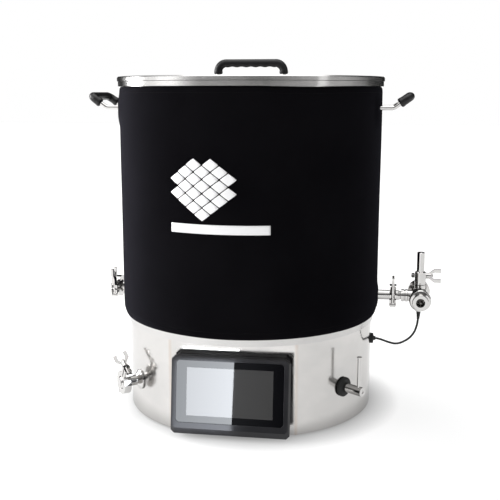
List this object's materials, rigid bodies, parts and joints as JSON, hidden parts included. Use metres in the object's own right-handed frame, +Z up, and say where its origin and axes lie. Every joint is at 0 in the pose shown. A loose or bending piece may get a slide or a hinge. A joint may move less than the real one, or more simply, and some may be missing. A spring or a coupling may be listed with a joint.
{
  "type": "electric all-in-one brewing kettle",
  "caption": "Jacketed steel brewing kettle on a round base with a touch display, clamp ports, outlet and drain valves, lift-off lid and inner malt pipe.",
  "frame": {"origin": "on the tank's axis, at the plane that the feet stand on", "axes": "+Z up along the tank's axis, the display faces -Y, the outlet valve is on +X"},
  "size_m": [0.6792, 0.5136, 0.6651],
  "materials": {
    "kettle_steel": "satin",
    "polished_steel": "polished",
    "inner_steel": "satin",
    "neoprene": "matte",
    "grip_plastic": "satin",
    "black_rubber": "matte",
    "white_silicone": "matte",
    "case_plastic": "satin",
    "screen_glass": "gloss",
    "screen_panel": "gloss",
    "circuit_board": "satin",
    "brass": "satin",
    "dark_metal": "satin",
    "impeller_plastic": "satin"
  },
  "bodies": {
    "brewer": {"kettle_tank": "kettle_steel", "base_skirt": "kettle_steel", "base_plate": "inner_steel", "rubber_feet": "black_rubber", "base_screws": "polished_steel", "jacket": "neoprene", "handle_plates": "inner_steel", "left_handle_rod": "polished_steel", "left_handle_grip": "grip_plastic", "right_handle_rod": "polished_steel", "right_handle_grip": "grip_plastic", "right_port": "polished_steel", "valve_inlet": "polished_steel", "right_clamp": "polished_steel", "valve_body": "polished_steel", "valve_end": "polished_steel", "valve_cap": "polished_steel", "valve_clamp": "polished_steel", "temp_sensor": "polished_steel", "sensor_cable": "black_rubber", "sensor_gland": "black_rubber", "left_port": "polished_steel", "left_cap": "polished_steel", "left_clamp": "polished_steel", "pump_port": "polished_steel", "pump_port_cap": "polished_steel", "pump_port_clamp": "polished_steel", "clamp_bolts": "polished_steel", "port_gaskets": "white_silicone", "drain_valve_body": "brass", "shaft_grommet": "black_rubber", "display_housing": "case_plastic", "display_frame": "case_plastic", "display_glass": "screen_glass", "display_panel": "screen_panel", "display_board": "circuit_board", "heating_elements": "dark_metal", "wort_pipes": "inner_steel", "pump_head": "dark_metal", "pump_motor": "dark_metal", "control_unit": "dark_metal", "mains_gland": "black_rubber"},
    "lid": {"lid_pan": "kettle_steel", "lid_gasket": "black_rubber", "lid_handle_rod": "polished_steel", "lid_handle_grip": "grip_plastic"},
    "malt_pipe": {"malt_pipe_wall": "inner_steel", "malt_pipe_screen": "inner_steel", "screen_seal": "white_silicone"},
    "bail": {"lifting_bail": "inner_steel"},
    "outlet_handle": {"valve_ball": "polished_steel", "valve_handle": "polished_steel"},
    "drain_control": {"drain_ball": "polished_steel", "drain_shaft": "polished_steel", "drain_lever": "polished_steel"},
    "right_nut": {"right_wing_nut": "polished_steel"},
    "valve_nut": {"valve_wing_nut": "polished_steel"},
    "left_nut": {"left_wing_nut": "polished_steel"},
    "pump_port_nut": {"pump_port_wing_nut": "polished_steel"},
    "impeller": {"pump_impeller": "impeller_plastic"}
  },
  "joints": [
    {"name": "lid_lift", "type": "slide", "parent": "brewer", "child": "lid", "axis": [0, 0, 1], "range_m": [0, 1]},
    {"name": "malt_pipe_lift", "type": "slide", "parent": "brewer", "child": "malt_pipe", "axis": [0, 0, 1], "range_m": [0, 0.45]},
    {"name": "bail_swing", "type": "hinge", "parent": "malt_pipe", "child": "bail", "pos_m": [0, 0, 0.592], "axis": [1, 0, 0], "range_deg": [0, 90]},
    {"name": "outlet_handle_turn", "type": "hinge", "parent": "brewer", "child": "outlet_handle", "pos_m": [0.33, 0, 0.216], "axis": [0, 0, 1], "range_deg": [0, 90]},
    {"name": "drain_lever_turn", "type": "hinge", "parent": "brewer", "child": "drain_control", "pos_m": [0, 0, 0.074], "axis": [0.809, -0.5878, 0], "range_deg": [0, 90]},
    {"name": "right_nut_turn", "type": "hinge", "parent": "brewer", "child": "right_nut", "pos_m": [0.279, -0.031, 0.216], "axis": [0, 0, 1], "continuous": true},
    {"name": "valve_nut_turn", "type": "hinge", "parent": "brewer", "child": "valve_nut", "pos_m": [0.33, 0.045, 0.247], "axis": [1, 0, 0], "continuous": true},
    {"name": "left_nut_turn", "type": "hinge", "parent": "brewer", "child": "left_nut", "pos_m": [-0.272, -0.031, 0.216], "axis": [0, 0, 1], "continuous": true},
    {"name": "pump_port_nut_turn", "type": "hinge", "parent": "brewer", "child": "pump_port_nut", "pos_m": [-0.20401, -0.17906, 0.09685], "axis": [-0.5332, 0.6824, 0.5], "continuous": true},
    {"name": "impeller_spin", "type": "hinge", "parent": "brewer", "child": "impeller", "pos_m": [-0.09, 0, 0.04], "axis": [1, 0, 0], "continuous": true}
  ],
  "couplings": [
    {"joint": "malt_pipe_lift", "follows": "lid_lift", "ratio": 0.45},
    {"joint": "bail_swing", "follows": "lid_lift", "rad_per_m": 1.5}
  ]
}
